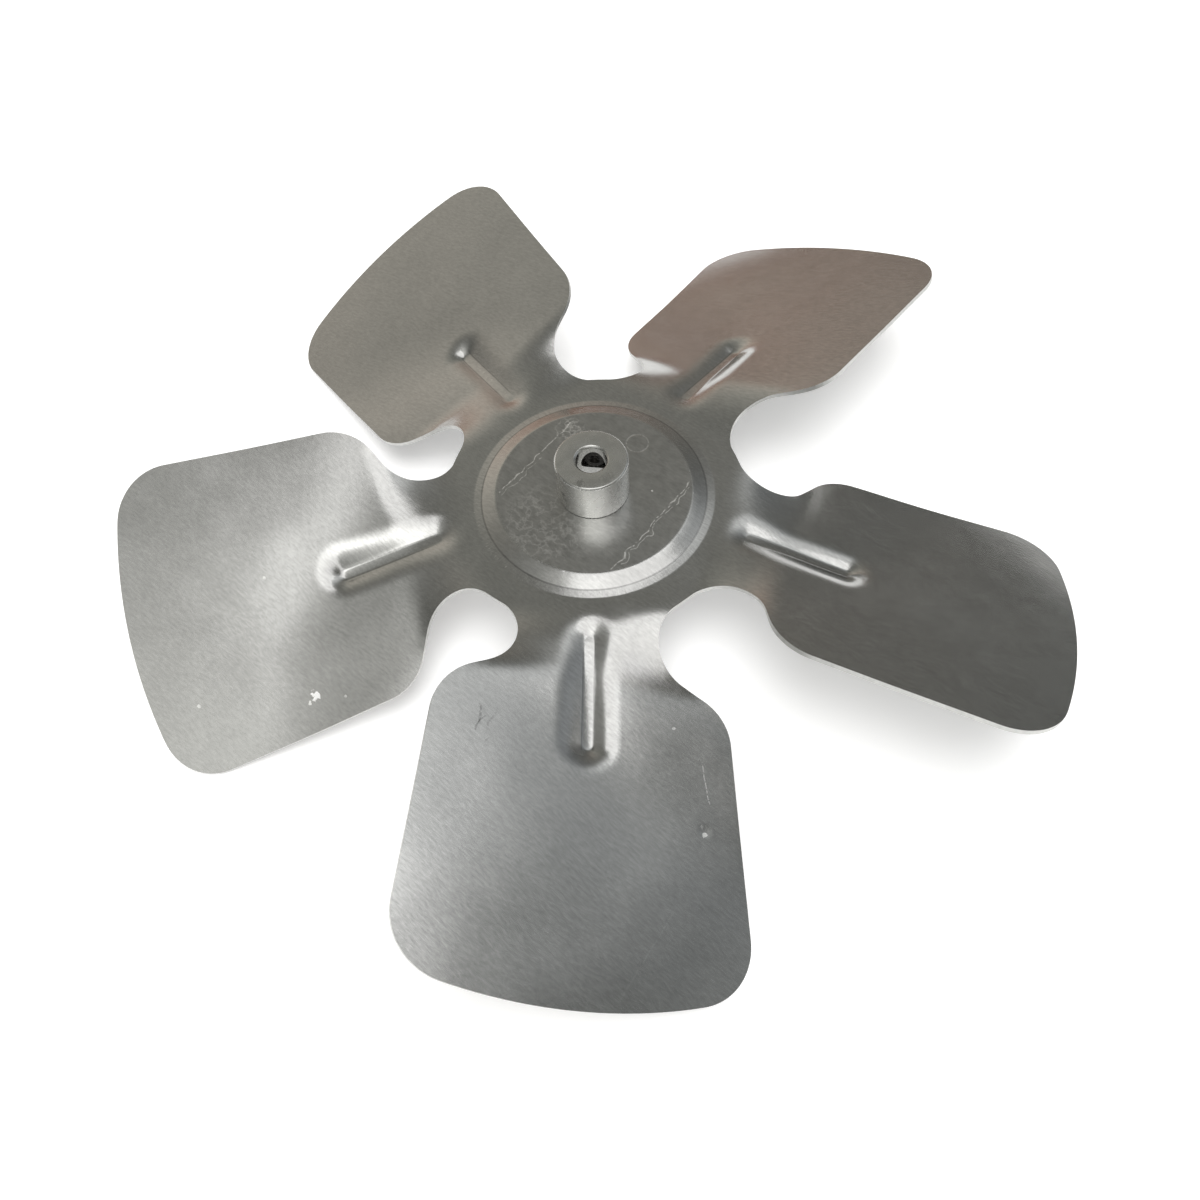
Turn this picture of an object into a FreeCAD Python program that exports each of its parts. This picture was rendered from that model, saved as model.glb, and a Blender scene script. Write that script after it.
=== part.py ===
import FreeCAD, Part
import math
import os

# Axial fan impeller: a pressed aluminium blade sheet, a turned hub boss and its set screw.
# Sizes are in millimetres and degrees. The origin is on the shaft axis, level with the upper
# face of the flat web that the blades grow from. +Z points out of the boss, and the rib of
# the first blade points along -Y.

# Whole fan
blade_count = 5
swept_diameter = 254.0
sheet_thickness = 1.2
first_blade_azimuth = -90.0

# Raised centre disc and the ring wall round it
disc_rise = 2.0
disc_flat_radius = 25.9
crest_radius = 1.6
wall_angle = 22.6
toe_angle = 11.0
toe_width = 2.2

# Blade form: each blade twists out of the flat web, droops a little and is slightly arched
twist_start = 37.3
twist_start_softness = 4.0
twist_end = 52.8
twist_end_softness = 2.5
pitch_angle = 21.4
pitch_station = 80.0
pitch_gain = 0.056
camber_radius = 1200.0
droop_angle = 4.8
droop_start = 41.7
droop_softness = 4.9

# Stiffening rib, pressed down into the root of each blade
rib_mouth = 38.2
rib_mouth_length = 2.2
rib_length = 28.2
rib_depth_at_mouth = 1.4
rib_depth_at_end = 2.4
rib_floor_half_width = 1.2
rib_flank_width = 4.2

# Blank outline in plan, seen from the boss: left of the rib is the trailing side, which runs
# anticlockwise of it, and right of the rib is the leading side
trailing_notch_centre = (42.7, 27.5)
trailing_notch_radius = 10.5
trailing_neck_angle = -27.9
trailing_neck_straight = 6.2
trailing_shoulder_radius = 12.6
trailing_edge_angle = 4.1
trailing_corner_radius = 14.0
leading_notch_centre = (42.4, 28.4)
leading_notch_radius = 11.0
leading_neck_angle = -26.5
leading_neck_straight = 3.4
leading_shoulder_radius = 14.5
leading_edge_angle = 4.5
leading_corner_radius = 14.5
tip_arc_radius = 116.5
tip_reach_azimuth = 15.6

# Turned hub boss, staked through the centre disc
boss_diameter = 19.05
boss_height = 12.7
boss_edge_chamfer = 0.4
bore_diameter = 7.94
bore_chamfer = 0.5
shank_diameter = 14.2
shank_clearance = 0.05
stake_overhang = 1.3
stake_thickness = 1.5
stake_chamfer = 0.5

# Socket set screw in a radial hole through one side of the boss
screw_diameter = 6.35
screw_clearance = 0.05
screw_length = 4.76
screw_clear_of_shaft = 0.1
screw_end_chamfer = 0.5
screw_socket_flats = 3.18
screw_socket_depth = 2.2
screw_cup_diameter = 3.2
screw_cup_depth = 0.9
screw_azimuth = 84.0
screw_below_top = 5.4

# Poles and sections that carry the pressed form
bend_step = 1.5
field_step = 6.5
side_step = 16.0
spline_degree = 3
rib_section_count = 9

# Derived sizes
tip_radius = swept_diameter / 2.0
boss_radius = boss_diameter / 2.0
bore_radius = bore_diameter / 2.0
shank_radius = shank_diameter / 2.0
boss_top = disc_rise + boss_height
stake_bottom = disc_rise - sheet_thickness - stake_thickness
root_line = twist_start - twist_start_softness
rib_end = rib_mouth + rib_mouth_length + rib_length
bend_end = twist_end + twist_end_softness + bend_step
sector_angle = 360.0 / blade_count
margin = 5.0


def sine(angle):
    return math.sin(math.radians(angle))


def cosine(angle):
    return math.cos(math.radians(angle))


def tangent(angle):
    return math.tan(math.radians(angle))


def polar(radius, angle, z=0.0):
    return FreeCAD.Vector(radius * cosine(angle), radius * sine(angle), z)


def turned(shape, angle):
    copy = shape.copy()
    copy.rotate(FreeCAD.Vector(0, 0, 0), FreeCAD.Vector(0, 0, 1), angle)
    return copy


# Pressed form

def eased(distance, softness):
    # Zero before a bend line and a straight ramp after it, joined by a parabola
    if distance <= -softness:
        return 0.0
    if distance >= softness:
        return distance
    return (distance + softness) ** 2 / (4.0 * softness)


def blade_height(x, y):
    # Height of the upper face beside the rib, x along the rib and y towards the trailing side
    twist = eased(x - twist_start, twist_start_softness) - eased(x - twist_end, twist_end_softness)
    twist /= twist_end - twist_start
    pitch = pitch_angle + pitch_gain * (x - pitch_station)
    pressed = twist * (-tangent(pitch) * y - y * y / (2.0 * camber_radius))
    droop = tangent(droop_angle) * eased(x - droop_start, droop_softness)
    return pressed - droop


def upper_point(x, y):
    return FreeCAD.Vector(x, y, blade_height(x, y))


def upper_slopes(x, y):
    # Rise of the upper face along x and along y
    reach = 0.01
    if x <= root_line:
        return 0.0, 0.0
    slope_x = (blade_height(x + reach, y) - blade_height(x - reach, y)) / (2.0 * reach)
    slope_y = (blade_height(x, y + reach) - blade_height(x, y - reach)) / (2.0 * reach)
    return slope_x, slope_y


def lower_point(x, y):
    # One sheet thickness below the upper face, square to it
    slope_x, slope_y = upper_slopes(x, y)
    normal = FreeCAD.Vector(-slope_x, -slope_y, 1.0)
    normal.normalize()
    return upper_point(x, y) - normal * sheet_thickness


def stations(start, spans):
    # Knots from start, in spans that each end at a place and have their own greatest step
    knots = [start]
    for end, step in spans:
        count = max(1, math.ceil((end - knots[-1]) / step))
        first = knots[-1]
        knots += [first + (end - first) * (i + 1) / count for i in range(count)]
    return knots


def pole_places(knots):
    # Each pole of a clamped spline lies at the mean of the knots that it spans
    ends = spline_degree
    full = [knots[0]] * ends + knots + [knots[-1]] * ends
    count = len(knots) + ends - 1
    return [sum(full[i + 1:i + 1 + ends]) / ends for i in range(count)]


def pressed_surface(x_knots, y_knots, point):
    poles = [[point(x, y) for y in pole_places(y_knots)] for x in pole_places(x_knots)]
    x_mults = [spline_degree + 1] + [1] * (len(x_knots) - 2) + [spline_degree + 1]
    y_mults = [spline_degree + 1] + [1] * (len(y_knots) - 2) + [spline_degree + 1]
    surface = Part.BSplineSurface()
    surface.buildFromPolesMultsKnots(poles, x_mults, y_mults, x_knots, y_knots,
                                     False, False, spline_degree, spline_degree)
    return surface


def blade_slab():
    # The formed sheet of one blade without its rib, larger than its outline on every side but the
    # root line. Its faces are in two lengths, the bend out of the web and the blade beyond it
    half = tip_radius / 2.0
    far = tip_radius + margin
    x_knots = stations(root_line, [(bend_end, bend_step), (far, field_step)])
    y_knots = stations(-half, [(half, side_step)])
    upper = pressed_surface(x_knots, y_knots, upper_point)
    lower = pressed_surface(x_knots, y_knots, lower_point)
    faces = []
    for start, end in ((root_line, bend_end), (bend_end, far)):
        for surface in (upper, lower):
            length = surface.copy()
            length.segment(start, end, -half, half)
            faces.append(length.toShape())
        for side in (-half, half):
            edges = [surface.vIso(side).toShape(start, end) for surface in (upper, lower)]
            faces.append(Part.makeRuledSurface(edges[0], edges[1]))
    for place in (root_line, far):
        edges = [surface.uIso(place).toShape() for surface in (upper, lower)]
        faces.append(Part.makeRuledSurface(edges[0], edges[1]))
    shell = Part.Shell(faces)
    shell.sewShape()
    slab = Part.Solid(shell)
    if slab.Volume < 0:
        slab.reverse()
    return slab


# Stiffening rib: a flat floor with sloping flanks, a ramp at its mouth and a rounded outer end

def rib_depth(x):
    share = (x - rib_mouth) / (rib_end - rib_mouth)
    return rib_depth_at_mouth + (rib_depth_at_end - rib_depth_at_mouth) * share


def rib_frame(x):
    # Middle of the rib on the upper face, and the directions across the rib and out of the face
    slope_x, slope_y = upper_slopes(x, 0.0)
    along = FreeCAD.Vector(1.0, 0.0, slope_x)
    along.normalize()
    out = FreeCAD.Vector(-slope_x, -slope_y, 1.0)
    out.normalize()
    return upper_point(x, 0.0), out.cross(along), out


def rib_section(x, offset, low, high):
    # Corners of the section between two heights over the upper face, in a face of the rib that
    # lies an offset below the pressed one
    middle, across, out = rib_frame(x)
    flank_angle = math.degrees(math.atan2(rib_depth(x), rib_flank_width))
    floor_half_width = rib_floor_half_width + offset * tangent(flank_angle / 2.0)
    corners = []
    for height, sides in ((low, (1.0, -1.0)), (high, (-1.0, 1.0))):
        half = floor_half_width + (height + rib_depth(x) + offset) / tangent(flank_angle)
        corners += [middle + across * (half * side) + out * height for side in sides]
    return corners


def closed_wire(corners):
    return Part.makePolygon(corners + [corners[0]])


def rib_body(offset, top):
    # Everything between one face of the rib and a height over the blade, as one solid
    ramp_foot = rib_mouth + rib_mouth_length
    ramp_angle = math.degrees(math.atan2(rib_depth(ramp_foot), rib_mouth_length))
    start = ramp_foot - offset * tangent(ramp_angle / 2.0)
    ramp_top = top - 0.2 * sheet_thickness
    ramp_start = start - (ramp_top + rib_depth(start) + offset) / tangent(ramp_angle)
    ramp_ends = [rib_section(ramp_start, offset, ramp_top, top),
                 rib_section(start, offset, -rib_depth(start) - offset, top)]
    ramp = Part.makeLoft([closed_wire(corners) for corners in ramp_ends], True, True)
    sections = []
    for i in range(rib_section_count):
        x = start + (rib_end - start) * i / (rib_section_count - 1)
        sections.append(rib_section(x, offset, -rib_depth(x) - offset, top))
    length = Part.makeLoft([closed_wire(corners) for corners in sections], True, False)
    # The outer end is half of the last section turned about the face's own normal
    middle, across, out = rib_frame(rib_end)
    last = sections[-1]
    half = [(last[0] + last[1]) / 2.0, last[1], last[2], (last[2] + last[3]) / 2.0]
    end = Part.Face(closed_wire(half)).revolve(middle, out, 180)
    return ramp.fuse([length, end])


def ribbed_slab():
    belly = rib_body(sheet_thickness, -sheet_thickness / 2.0)
    groove = rib_body(0.0, sheet_thickness)
    return blade_slab().fuse(belly).cut(groove)


# Blank outline

def arc_through(centre, radius, start, end):
    # Arc from one angle to another about a centre, the way that the angles run
    middle = (start + end) / 2.0
    ends = [centre + polar(radius, angle) for angle in (start, middle, end)]
    return Part.Arc(*ends).toShape()


def blade_side(notch_centre, notch_radius, neck_angle, neck_straight, shoulder_radius,
               edge_angle, corner_radius, tip_centre):
    # Edges of one side of a blade from the root notch to its tip corner, for a side at +y
    notch = FreeCAD.Vector(notch_centre[0], notch_centre[1], 0)
    leave = notch + polar(notch_radius, neck_angle)
    meet = leave + polar(neck_straight, neck_angle + 90.0)
    shoulder = meet + polar(shoulder_radius, neck_angle)
    edge_start = shoulder + polar(shoulder_radius, edge_angle + 90.0)
    along = polar(1.0, edge_angle)
    inner = edge_start - polar(corner_radius, edge_angle + 90.0) - tip_centre
    reach = tip_arc_radius - corner_radius
    run = -inner.dot(along) + math.sqrt(inner.dot(along) ** 2 - inner.dot(inner) + reach ** 2)
    corner = tip_centre + inner + along * run
    edge_end = edge_start + along * run
    tip_angle = math.degrees(math.atan2(corner.y - tip_centre.y, corner.x - tip_centre.x))
    hub_side = -180.0 + sector_angle / 2.0
    edges = [arc_through(notch, notch_radius, hub_side, neck_angle),
             Part.makeLine(leave, meet),
             arc_through(shoulder, shoulder_radius, neck_angle + 180.0, edge_angle + 90.0),
             Part.makeLine(edge_start, edge_end),
             arc_through(corner, corner_radius, edge_angle + 90.0, tip_angle)]
    return edges, notch + polar(notch_radius, hub_side), tip_angle


def blade_blank():
    # Plan of one blade from the shaft axis out, between the lines half way to its neighbours
    tip_centre = polar(tip_radius - tip_arc_radius, tip_reach_azimuth)
    mirrored_tip = FreeCAD.Vector(tip_centre.x, -tip_centre.y, 0)
    trailing, trailing_start, trailing_tip = blade_side(
        trailing_notch_centre, trailing_notch_radius, trailing_neck_angle, trailing_neck_straight,
        trailing_shoulder_radius, trailing_edge_angle, trailing_corner_radius, tip_centre)
    leading, leading_start, leading_tip = blade_side(
        leading_notch_centre, leading_notch_radius, leading_neck_angle, leading_neck_straight,
        leading_shoulder_radius, leading_edge_angle, leading_corner_radius, mirrored_tip)
    plane = FreeCAD.Vector(0, 0, 0)
    leading = [edge.mirror(plane, FreeCAD.Vector(0, 1, 0)) for edge in leading]
    leading_start = FreeCAD.Vector(leading_start.x, -leading_start.y, 0)
    tip = arc_through(tip_centre, tip_arc_radius, -leading_tip, trailing_tip)
    # Both notches meet the half-way line at one distance from the axis
    half = sector_angle / 2.0
    meeting = (trailing_start.dot(polar(1.0, half)) + leading_start.dot(polar(1.0, -half))) / 2.0
    centre = FreeCAD.Vector(0, 0, 0)
    web = [Part.makeLine(centre, polar(meeting, half)),
           Part.makeLine(polar(meeting, half), trailing_start),
           Part.makeLine(leading_start, polar(meeting, -half)),
           Part.makeLine(polar(meeting, -half), centre)]
    wire = Part.Wire(Part.__sortEdges__(web + trailing + leading + [tip]))
    return Part.Face(wire)


def upright(face, low, high):
    # Prism over a plan face between two heights
    lifted = face.copy()
    lifted.translate(FreeCAD.Vector(0, 0, low))
    return lifted.extrude(FreeCAD.Vector(0, 0, high - low))


def web_sector():
    # Plan of the flat web in one sector, from the axis to the root line
    half = sector_angle / 2.0
    reach = root_line / cosine(half)
    corners = [FreeCAD.Vector(0, 0, 0), polar(reach, -half), polar(reach, half),
               FreeCAD.Vector(0, 0, 0)]
    return Part.Face(Part.makePolygon(corners))


# Centre disc and ring wall

def line_crossing(point_a, angle_a, point_b, angle_b):
    # Where two lines of a section meet, each given by a point and a downhill angle
    slope_a = -tangent(angle_a)
    slope_b = -tangent(angle_b)
    r = (point_b[1] - point_a[1] + slope_a * point_a[0] - slope_b * point_b[0]) / (slope_a - slope_b)
    return r, point_a[1] + slope_a * (r - point_a[0])


def section_side(offset):
    # One face of the centre sheet's section, offset square to the upper face. Each entry is a
    # point (radius, height), and the second to fourth lie on the crest's arc
    radius = crest_radius - offset
    arc_centre = (disc_flat_radius, disc_rise - crest_radius)
    crest = [(arc_centre[0] + radius * sine(angle), arc_centre[1] + radius * cosine(angle))
             for angle in (0.0, wall_angle / 2.0, wall_angle)]
    wall_run = (disc_rise - crest_radius * (1.0 - cosine(wall_angle))
                - toe_width * tangent(toe_angle)) / tangent(wall_angle)
    crease = (disc_flat_radius + crest_radius * sine(wall_angle) + wall_run,
              toe_width * tangent(toe_angle))
    toe_point = (crease[0] - offset * sine(toe_angle), crease[1] - offset * cosine(toe_angle))
    web_point = (crease[0], -offset)
    bend = line_crossing(crest[2], wall_angle, toe_point, toe_angle)
    foot = line_crossing(toe_point, toe_angle, web_point, 0.0)
    inside = (shank_radius + shank_clearance, disc_rise - offset)
    outside = (root_line / cosine(sector_angle / 2.0) + margin, -offset)
    return [inside] + crest + [bend, foot, outside]


def section_edges(points):
    spots = [FreeCAD.Vector(r, 0, z) for r, z in points]
    arc = Part.Arc(spots[1], spots[2], spots[3]).toShape()
    straights = [Part.makeLine(spots[0], spots[1])]
    straights += [Part.makeLine(spots[i], spots[i + 1]) for i in range(3, len(spots) - 1)]
    return spots, straights + [arc]


def centre_disc():
    # Web, ring wall and raised disc turned from one section, still round outside
    top_spots, top_edges = section_edges(section_side(0.0))
    low_spots, low_edges = section_edges(section_side(sheet_thickness))
    ends = [Part.makeLine(top_spots[0], low_spots[0]), Part.makeLine(top_spots[-1], low_spots[-1])]
    wire = Part.Wire(Part.__sortEdges__(top_edges + low_edges + ends))
    return Part.Face(wire).revolve(FreeCAD.Vector(0, 0, 0), FreeCAD.Vector(0, 0, 1), 360)


def blade_spider():
    # Raised disc, ring, web and all the blades as the one sheet that they are pressed from
    low = -tip_radius / 2.0
    high = tip_radius / 2.0
    blank = blade_blank()
    web_face = blank.common(web_sector())
    beyond = Part.makeBox(tip_radius + margin, tip_radius * 2.0, high - low,
                          FreeCAD.Vector(root_line - sheet_thickness, -tip_radius, low))
    blade = ribbed_slab().common(upright(blank, low, high).common(beyond))
    angles = [first_blade_azimuth + i * sector_angle for i in range(blade_count)]
    rim = [edge for edge in web_face.Edges if edge.CenterOfMass.Length > root_line - margin]
    outline = [turned(edge, angle) for angle in angles for edge in rim]
    web = Part.Face(Part.Wire(Part.__sortEdges__(outline)))
    disc = centre_disc().common(upright(web, low, high))
    blades = [turned(blade, angle) for angle in angles]
    return disc.multiFuse(blades).removeSplitter().Solids[0]


# Hub boss and set screw

def turned_solid(section):
    points = [FreeCAD.Vector(r, 0, z) for r, z in section]
    face = Part.Face(Part.makePolygon(points + [points[0]]))
    return face.revolve(FreeCAD.Vector(0, 0, 0), FreeCAD.Vector(0, 0, 1), 360)


def to_screw_axis(shape):
    # Lays a piece made along +Z on the set screw's axis, pointing out of the boss
    laid = shape.copy()
    laid.rotate(FreeCAD.Vector(0, 0, 0), FreeCAD.Vector(0, 1, 0), 90)
    laid.rotate(FreeCAD.Vector(0, 0, 0), FreeCAD.Vector(0, 0, 1), screw_azimuth)
    laid.translate(FreeCAD.Vector(0, 0, boss_top - screw_below_top))
    return laid


def hub_boss():
    stake_radius = shank_radius + stake_overhang
    disc_underside = disc_rise - sheet_thickness
    section = [(bore_radius, stake_bottom + bore_chamfer),
               (bore_radius + bore_chamfer, stake_bottom),
               (stake_radius - stake_chamfer, stake_bottom),
               (stake_radius, stake_bottom + stake_chamfer),
               (stake_radius, disc_underside),
               (shank_radius, disc_underside),
               (shank_radius, disc_rise),
               (boss_radius, disc_rise),
               (boss_radius, boss_top - boss_edge_chamfer),
               (boss_radius - boss_edge_chamfer, boss_top),
               (bore_radius + bore_chamfer, boss_top),
               (bore_radius, boss_top - bore_chamfer)]
    hole_radius = screw_diameter / 2.0 + screw_clearance
    hole = to_screw_axis(Part.makeCylinder(hole_radius, boss_radius + margin))
    return turned_solid(section).cut(hole)


def hexagon(flats, low, high):
    corners = [polar(flats / 2.0 / cosine(30.0), 60.0 * i, low) for i in range(6)]
    face = Part.Face(Part.makePolygon(corners + [corners[0]]))
    return face.extrude(FreeCAD.Vector(0, 0, high - low))


def set_screw():
    inner_end = bore_radius + screw_clear_of_shaft
    outer_end = inner_end + screw_length
    radius = screw_diameter / 2.0
    cup_radius = screw_cup_diameter / 2.0
    section = [(0.0, inner_end + screw_cup_depth),
               (cup_radius, inner_end),
               (radius - screw_end_chamfer, inner_end),
               (radius, inner_end + screw_end_chamfer),
               (radius, outer_end - screw_end_chamfer),
               (radius - screw_end_chamfer, outer_end),
               (0.0, outer_end)]
    socket = hexagon(screw_socket_flats, outer_end - screw_socket_depth, outer_end + margin)
    return to_screw_axis(turned_solid(section).cut(socket))


def main():
    os.makedirs("parts", exist_ok=True)
    pieces = {"blade_spider": blade_spider(), "hub_boss": hub_boss(), "set_screw": set_screw()}
    for name, shape in pieces.items():
        box = shape.BoundBox
        print(name, "valid", shape.isValid(), "solids", len(shape.Solids),
              "volume", round(shape.Volume, 1),
              "box", [round(v, 2) for v in (box.XMin, box.YMin, box.ZMin, box.XMax, box.YMax, box.ZMax)])
        shape.exportStep("parts/" + name + ".step")


main()
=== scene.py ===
import math

import bmesh
import bpy
from mathutils import Matrix, Quaternion, Vector
from mathutils.geometry import delaunay_2d_cdt


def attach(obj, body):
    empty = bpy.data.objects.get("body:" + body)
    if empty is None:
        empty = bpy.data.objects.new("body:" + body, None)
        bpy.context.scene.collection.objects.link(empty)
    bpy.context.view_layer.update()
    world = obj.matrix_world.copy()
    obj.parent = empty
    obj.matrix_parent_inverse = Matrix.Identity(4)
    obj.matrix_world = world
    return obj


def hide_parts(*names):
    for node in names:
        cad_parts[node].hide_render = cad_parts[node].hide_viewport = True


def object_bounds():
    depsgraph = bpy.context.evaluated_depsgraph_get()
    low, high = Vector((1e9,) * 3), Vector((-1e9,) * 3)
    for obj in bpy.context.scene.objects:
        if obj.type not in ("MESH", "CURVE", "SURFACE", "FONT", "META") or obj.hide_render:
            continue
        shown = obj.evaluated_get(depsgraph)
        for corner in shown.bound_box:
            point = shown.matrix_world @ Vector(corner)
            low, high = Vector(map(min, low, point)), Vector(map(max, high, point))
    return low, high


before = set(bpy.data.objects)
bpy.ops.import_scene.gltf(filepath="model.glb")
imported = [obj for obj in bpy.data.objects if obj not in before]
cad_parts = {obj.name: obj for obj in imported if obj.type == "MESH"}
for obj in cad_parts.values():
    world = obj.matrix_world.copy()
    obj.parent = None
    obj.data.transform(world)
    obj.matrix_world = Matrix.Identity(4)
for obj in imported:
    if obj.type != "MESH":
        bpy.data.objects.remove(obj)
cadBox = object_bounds()
print("frame loaded:", sorted(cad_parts))

# The scene is in metres, so a size in millimetres is a number times mm
mm = 0.001


# Node trees

def addNode(tree, kind, inputs=None, **settings):
    node = tree.nodes.new(kind)
    for name, value in settings.items():
        setattr(node, name, value)
    for place, value in (inputs or {}).items():
        connect(tree, value, node.inputs[place])
    return node


def connect(tree, value, socket):
    # A socket is linked, and a plain value is set on the socket itself
    if isinstance(value, bpy.types.NodeSocket):
        tree.links.new(value, socket)
    else:
        socket.default_value = value


def calc(tree, operation, a, b=0.0, c=0.0, clamp=False):
    return addNode(tree, "ShaderNodeMath", {0: a, 1: b, 2: c}, operation=operation,
                   use_clamp=clamp).outputs[0]


def plus(tree, a, b):
    return calc(tree, "ADD", a, b)


def minus(tree, a, b):
    return calc(tree, "SUBTRACT", a, b)


def times(tree, a, b):
    return calc(tree, "MULTIPLY", a, b)


def addScaled(tree, value, scale, base):
    return calc(tree, "MULTIPLY_ADD", value, scale, base)


def eased(tree, distance, softness):
    # Zero before a bend line and a straight ramp after it, joined by a parabola
    low = times(tree, softness, -1.0)
    near = calc(tree, "MINIMUM", calc(tree, "MAXIMUM", distance, low), softness)
    square = calc(tree, "POWER", plus(tree, near, softness), 2.0)
    bend = calc(tree, "DIVIDE", square, times(tree, softness, 4.0))
    past = calc(tree, "MAXIMUM", minus(tree, distance, softness), 0.0)
    return plus(tree, bend, past)


def fade(tree, value, low, high):
    # Zero at the first limit and one at the second, smooth between
    return addNode(tree, "ShaderNodeMapRange", {"Value": value, "From Min": low, "From Max": high},
                   interpolation_type="SMOOTHSTEP").outputs[0]


def line(tree, value, middle, reach, core):
    # One on a line at the middle value, and zero beyond its reach
    away = calc(tree, "ABSOLUTE", minus(tree, value, middle))
    return fade(tree, away, reach, core)


def finishMetal(tree, shader, colour, roughness, height):
    # Bare metal, with its fine relief in metres as bump
    relief = addNode(tree, "ShaderNodeBump", {"Strength": 1.0, "Distance": 1.0, "Height": height})
    shader.inputs["Metallic"].default_value = 1.0
    connect(tree, colour, shader.inputs["Base Color"])
    connect(tree, roughness, shader.inputs["Roughness"])
    connect(tree, relief.outputs[0], shader.inputs["Normal"])


def finishPiece(piece, node, material):
    # A finished piece rides on the one body and stands for its CAD node
    piece.data.materials.clear()
    piece.data.materials.append(material)
    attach(piece, "root")
    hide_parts(node)


# Blank of the blade sheet: the flat outline of one blade with its share of the web

blank = {
    "bladeCount": 5,
    "tipRadius": 126.85 * mm,
    "holeRadius": 7.15 * mm,
    "trailing": {"notch": (42.7 * mm, 27.5 * mm), "notchRadius": 10.5 * mm, "neckAngle": -27.9,
                 "neckStraight": 6.2 * mm, "shoulderRadius": 12.6 * mm, "edgeAngle": 4.1,
                 "cornerRadius": 14.0 * mm},
    "leading": {"notch": (42.4 * mm, 28.4 * mm), "notchRadius": 11.0 * mm, "neckAngle": -26.5,
                "neckStraight": 3.4 * mm, "shoulderRadius": 14.5 * mm, "edgeAngle": 4.5,
                "cornerRadius": 14.5 * mm},
    "tipArcRadius": 116.5 * mm,
    "tipReachAzimuth": 15.6,
    # Distances between the mesh's points, along the outline, at the root and over the blade
    "outlineStep": 0.9 * mm,
    "rootStep": 1.5 * mm,
    "bladeStep": 2.2 * mm,
    "rootReach": 62.0 * mm,
    "rowClearance": 0.55,
    "firstRowShare": 0.8,
    "discRings": (10.0 * mm, 25.0 * mm, 3.0 * mm),
    "bendRings": (-1.1, -0.5, 0.0, 0.5, 1.1),
    "pointTolerance": 1e-7,
}

# Form that the press gives the blank

press = {
    "sheetThickness": 1.2 * mm,
    "discRise": 2.0 * mm,
    "discFlatRadius": 25.9 * mm,
    "wallAngle": 22.6,
    "toeAngle": 11.0,
    "toeWidth": 2.2 * mm,
    "crestSoftness": 0.32 * mm,
    "creaseSoftness": 0.12 * mm,
    "footSoftness": 0.25 * mm,
    "twistStart": 37.3 * mm,
    "twistStartSoftness": 4.0 * mm,
    "twistEnd": 52.8 * mm,
    "twistEndSoftness": 2.5 * mm,
    "pitchAngle": 21.4,
    "pitchStation": 80.0 * mm,
    "pitchGain": 56.0,
    "camberRadius": 1200.0 * mm,
    # Hollows that the twist leaves, with rises along the edges: depth, place along and across
    # the blade, half length, half width and skew
    "hollows": {"middle": (1.02 * mm, 81.7 * mm, 3.4 * mm, 19.7 * mm, 40.0 * mm, 0.13),
                "outer": (0.77 * mm, 103.7 * mm, 1.4 * mm, 19.6 * mm, 22.3 * mm, 0.42),
                "inner": (1.26 * mm, 66.1 * mm, -2.4 * mm, 18.8 * mm, 19.2 * mm, -0.57),
                "trailing": (-0.88 * mm, 79.7 * mm, 43.5 * mm, 17.4 * mm, 9.5 * mm, -0.80),
                "leading": (-0.47 * mm, 83.7 * mm, -41.0 * mm, 45.0 * mm, 10.8 * mm, 0.39)},
    "hollowStart": 38.0 * mm,
    "hollowFull": 47.0 * mm,
    "droopAngle": 4.95,
    "droopStart": 41.7 * mm,
    "droopSoftness": 4.9 * mm,
    "ribMouthCentre": 43.0 * mm,
    "ribEndCentre": 68.6 * mm,
    "ribDepthAtMouth": 1.4 * mm,
    "ribDepthAtEnd": 2.4 * mm,
    "ribFloorHalfWidth": 1.2 * mm,
    "ribFloorSoftness": 0.35 * mm,
    "ribFlankWidth": 4.1 * mm,
    "ribShoulderSoftness": 2.1 * mm,
    "firstBladeAzimuth": -90.0,
    "weldDistance": 1e-6,
    "edgeBreak": 0.16 * mm,
    "edgeBreakSegments": 2,
    "edgeBreakAngle": 50.0,
}

# Values of the press that the node tree doesn't take as they are
notInTree = ("discFlatRadius", "toeWidth", "hollows", "edgeBreak", "edgeBreakSegments",
             "edgeBreakAngle")
hollowParts = ("Depth", "Station", "Across", "Length", "Width", "Skew")


def polar(radius, degrees):
    turn = math.radians(degrees)
    return Vector((radius * math.cos(turn), radius * math.sin(turn)))


def spread(low, high, step):
    # Evenly spaced values from low to high, about a step apart
    count = max(1, round((high - low) / step))
    return [low + (high - low) * i / count for i in range(count + 1)]


def arcPoints(centre, radius, start, end, step):
    count = max(2, math.ceil(abs(math.radians(end - start)) * radius / step))
    return [centre + polar(radius, start + (end - start) * i / count) for i in range(count + 1)]


def linePoints(start, end, step):
    count = max(1, math.ceil((end - start).length / step))
    return [start.lerp(end, i / count) for i in range(count + 1)]


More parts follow.
